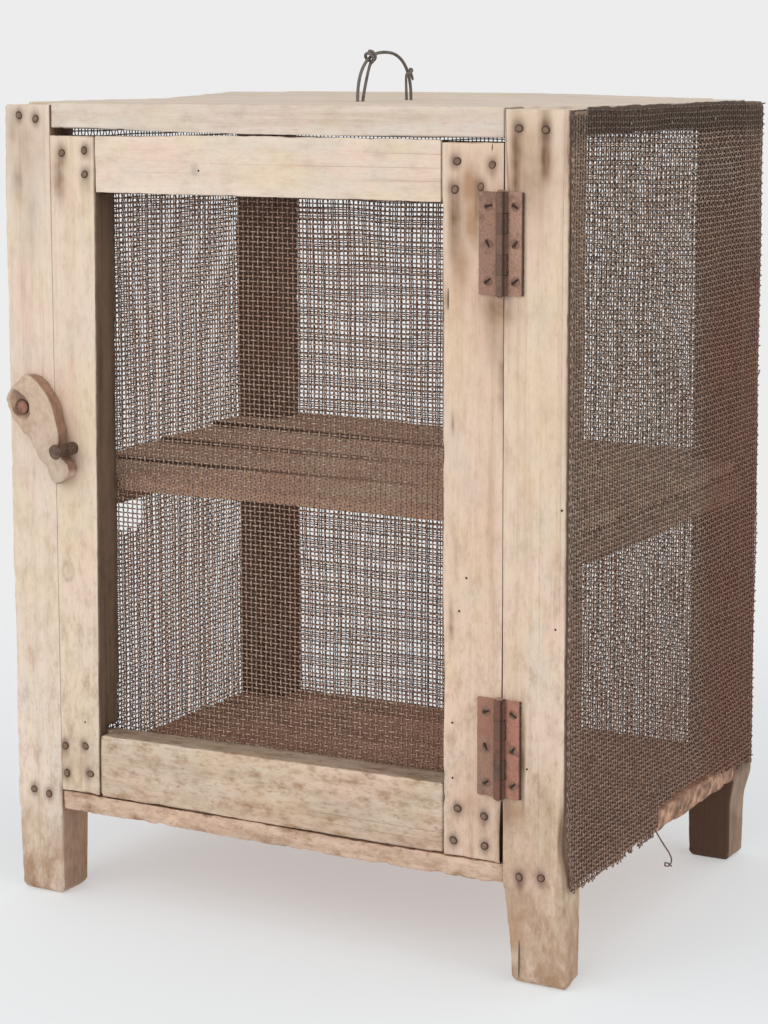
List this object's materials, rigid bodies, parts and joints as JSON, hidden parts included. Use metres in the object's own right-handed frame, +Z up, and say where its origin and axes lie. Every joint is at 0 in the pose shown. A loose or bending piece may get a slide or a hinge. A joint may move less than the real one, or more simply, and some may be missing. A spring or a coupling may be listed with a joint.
{
  "type": "food safe",
  "caption": "Small free-standing larder cupboard: timber posts, wire-net walls, slatted shelf, hinged net door with a carved turn button, and a wire loop handle on top.",
  "frame": {"origin": "on the floor, under the middle of the object's box", "axes": "+Z up, the door faces -Y, +X towards the hinge side"},
  "size_m": [0.3904, 0.3214, 0.5382],
  "materials": {
    "pale_wood": "bare weathered timber, worn matt",
    "worn_board": "bare weathered board, rough",
    "stained_wood": "brown with age, matt",
    "rusty_net": "woven wire, rusted",
    "rusty_steel": "rusted sheet and wire nails",
    "dark_wire": "dark annealed wire"
  },
  "bodies": {
    "cabinet": {"front_left_post": "pale_wood", "front_right_post": "pale_wood", "back_left_post": "pale_wood", "back_right_post": "pale_wood", "top_board": "worn_board", "bottom_board": "worn_board", "shelf_cleat_left": "stained_wood", "shelf_cleat_right": "stained_wood", "shelf_slat_1": "stained_wood", "shelf_slat_2": "stained_wood", "shelf_slat_3": "stained_wood", "shelf_slat_4": "stained_wood", "right_net": "rusty_net", "left_net": "rusty_net", "back_net": "rusty_net", "upper_hinge_post_leaf": "rusty_steel", "upper_hinge_pin": "rusty_steel", "lower_hinge_post_leaf": "rusty_steel", "lower_hinge_pin": "rusty_steel", "turn_button_screw": "rusty_steel", "handle_bail": "dark_wire", "handle_tie_wire": "dark_wire"},
    "door": {"door_left_stile": "pale_wood", "door_right_stile": "pale_wood", "door_top_rail": "pale_wood", "door_bottom_rail": "pale_wood", "door_net": "rusty_net", "upper_hinge_door_leaf": "rusty_steel", "lower_hinge_door_leaf": "rusty_steel", "catch_nail": "rusty_steel"},
    "latch": {"turn_button": "pale_wood"}
  },
  "joints": [
    {"name": "door_swing", "type": "hinge", "parent": "cabinet", "child": "door", "pos_m": [0.1539, -0.1438, 0.28445], "axis": [0, 0, 1], "range_deg": [0, 170]},
    {"name": "latch_turn", "type": "hinge", "parent": "cabinet", "child": "latch", "pos_m": [-0.17755, -0.1405, 0.3165], "axis": [0, 1, 0], "range_deg": [0, 180]}
  ]
}
